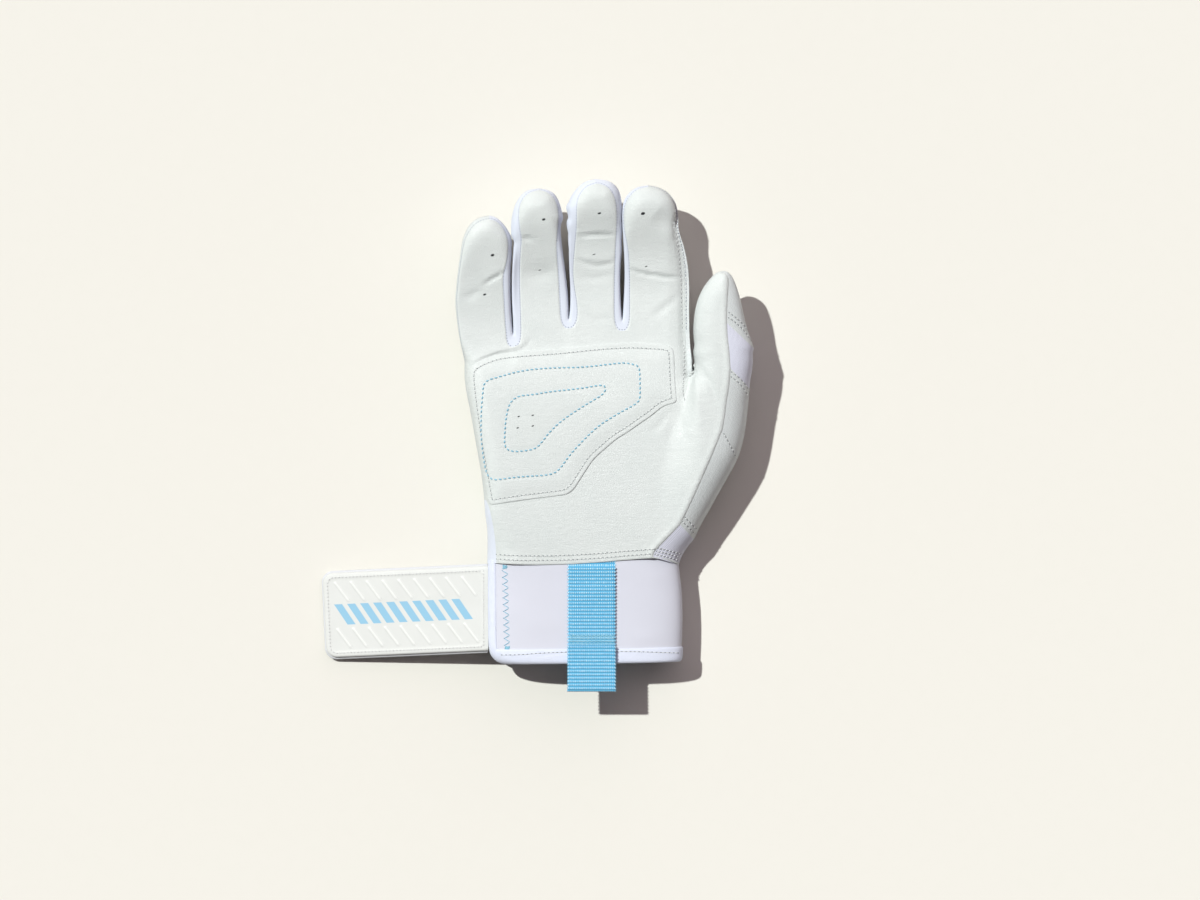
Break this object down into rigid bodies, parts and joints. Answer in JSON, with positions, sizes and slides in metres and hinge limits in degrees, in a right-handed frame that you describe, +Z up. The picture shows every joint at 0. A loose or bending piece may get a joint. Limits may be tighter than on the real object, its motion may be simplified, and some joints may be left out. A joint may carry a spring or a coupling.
{
  "type": "batting glove",
  "caption": "Right-hand batting glove lying palm up, with curled hollow fingers, a quilted palm overlay, knit and leather thumb panels, a short cuff, a pull tab and an open wrist strap.",
  "frame": {"origin": "on the flat resting face under the back of the hand, at the middle of the wrist line", "axes": "+Y from the wrist to the fingertips, +X to the thumb's side, +Z up out of the palm"},
  "size_m": [0.2068, 0.2452, 0.0388],
  "materials": {
    "front_leather": "smooth fine-grained leather, softly matt",
    "back_leather": "smooth synthetic leather, matt",
    "stretch_fabric": "fine stretch fabric",
    "knit": "ribbed knit",
    "neoprene": "jersey-faced neoprene",
    "binding": "folded fabric tape",
    "foam": "closed-cell foam sheet",
    "webbing": "ribbed webbing",
    "blue_thread": "bonded sewing thread",
    "strap_rubber": "moulded soft rubber, satin",
    "strap_base": "elastic fabric",
    "hook_and_loop": "hook and loop pile"
  },
  "bodies": {
    "root": {"palm_leather": "front_leather", "palm_overlay": "front_leather", "palm_foam": "foam", "quilt_thread_outer": "blue_thread", "quilt_thread_inner": "blue_thread", "back_panel": "back_leather", "pinky_side_strip": "stretch_fabric", "thumb_base_panel_upper": "front_leather", "thumb_base_panel_lower": "front_leather", "wrist_gusset": "knit", "cuff_front": "neoprene", "cuff_back": "neoprene", "hem_binding": "binding", "slit_binding": "binding", "loop_pad": "hook_and_loop", "zigzag_thread": "blue_thread", "strap_anchor": "strap_base", "pull_tab_sewn": "webbing"},
    "pinky": {"pinky_front": "front_leather", "pinky_back": "back_leather", "pinky_fourchette_right": "stretch_fabric"},
    "ring": {"ring_front": "front_leather", "ring_back": "back_leather", "ring_fourchette_left": "stretch_fabric", "ring_fourchette_right": "stretch_fabric"},
    "middle": {"middle_front": "front_leather", "middle_back": "back_leather", "middle_fourchette_left": "stretch_fabric", "middle_fourchette_right": "stretch_fabric"},
    "index": {"index_front": "front_leather", "index_back": "back_leather", "index_fourchette_left": "stretch_fabric"},
    "thumb": {"thumb_front": "front_leather", "thumb_tip_patch": "front_leather", "thumb_knit_panel": "knit"},
    "strap_near": {"strap_base_near": "strap_base", "strap_patch_near": "strap_rubber"},
    "strap_far": {"strap_base_far": "strap_base", "strap_patch_far": "strap_rubber", "hook_pad": "hook_and_loop"},
    "pull_tab": {"pull_tab_loop": "webbing"}
  },
  "joints": [
    {"name": "pinky_curl", "type": "hinge", "parent": "root", "child": "pinky", "pos_m": [-0.0458, 0.1037, 0.0272], "axis": [1, 0, 0], "range_deg": [0, 80]},
    {"name": "ring_curl", "type": "hinge", "parent": "root", "child": "ring", "pos_m": [-0.0207, 0.1075, 0.0272], "axis": [1, 0, 0], "range_deg": [0, 80]},
    {"name": "middle_curl", "type": "hinge", "parent": "root", "child": "middle", "pos_m": [0.0052, 0.1118, 0.0272], "axis": [1, 0, 0], "range_deg": [0, 80]},
    {"name": "index_curl", "type": "hinge", "parent": "root", "child": "index", "pos_m": [0.0347, 0.1109, 0.0272], "axis": [1, 0, 0], "range_deg": [0, 80]},
    {"name": "thumb_curl", "type": "hinge", "parent": "root", "child": "thumb", "pos_m": [0.0656, 0.0883, 0.0372], "axis": [1, 0, 0], "range_deg": [0, 60]},
    {"name": "strap_fold_near", "type": "hinge", "parent": "root", "child": "strap_near", "pos_m": [-0.04844, -0.0224, 0.0146], "axis": [0.0489, -0.9988, 0], "range_deg": [0, 80]},
    {"name": "strap_fold_far", "type": "hinge", "parent": "strap_near", "child": "strap_far", "pos_m": [-0.06913, -0.02341, 0.01115], "axis": [0.0489, -0.9988, 0], "range_deg": [0, 90]},
    {"name": "pull_tab_lift", "type": "hinge", "parent": "root", "child": "pull_tab", "pos_m": [0.0037, -0.0402, 0.028], "axis": [-1, 0, 0], "range_deg": [0, 90]}
  ]
}
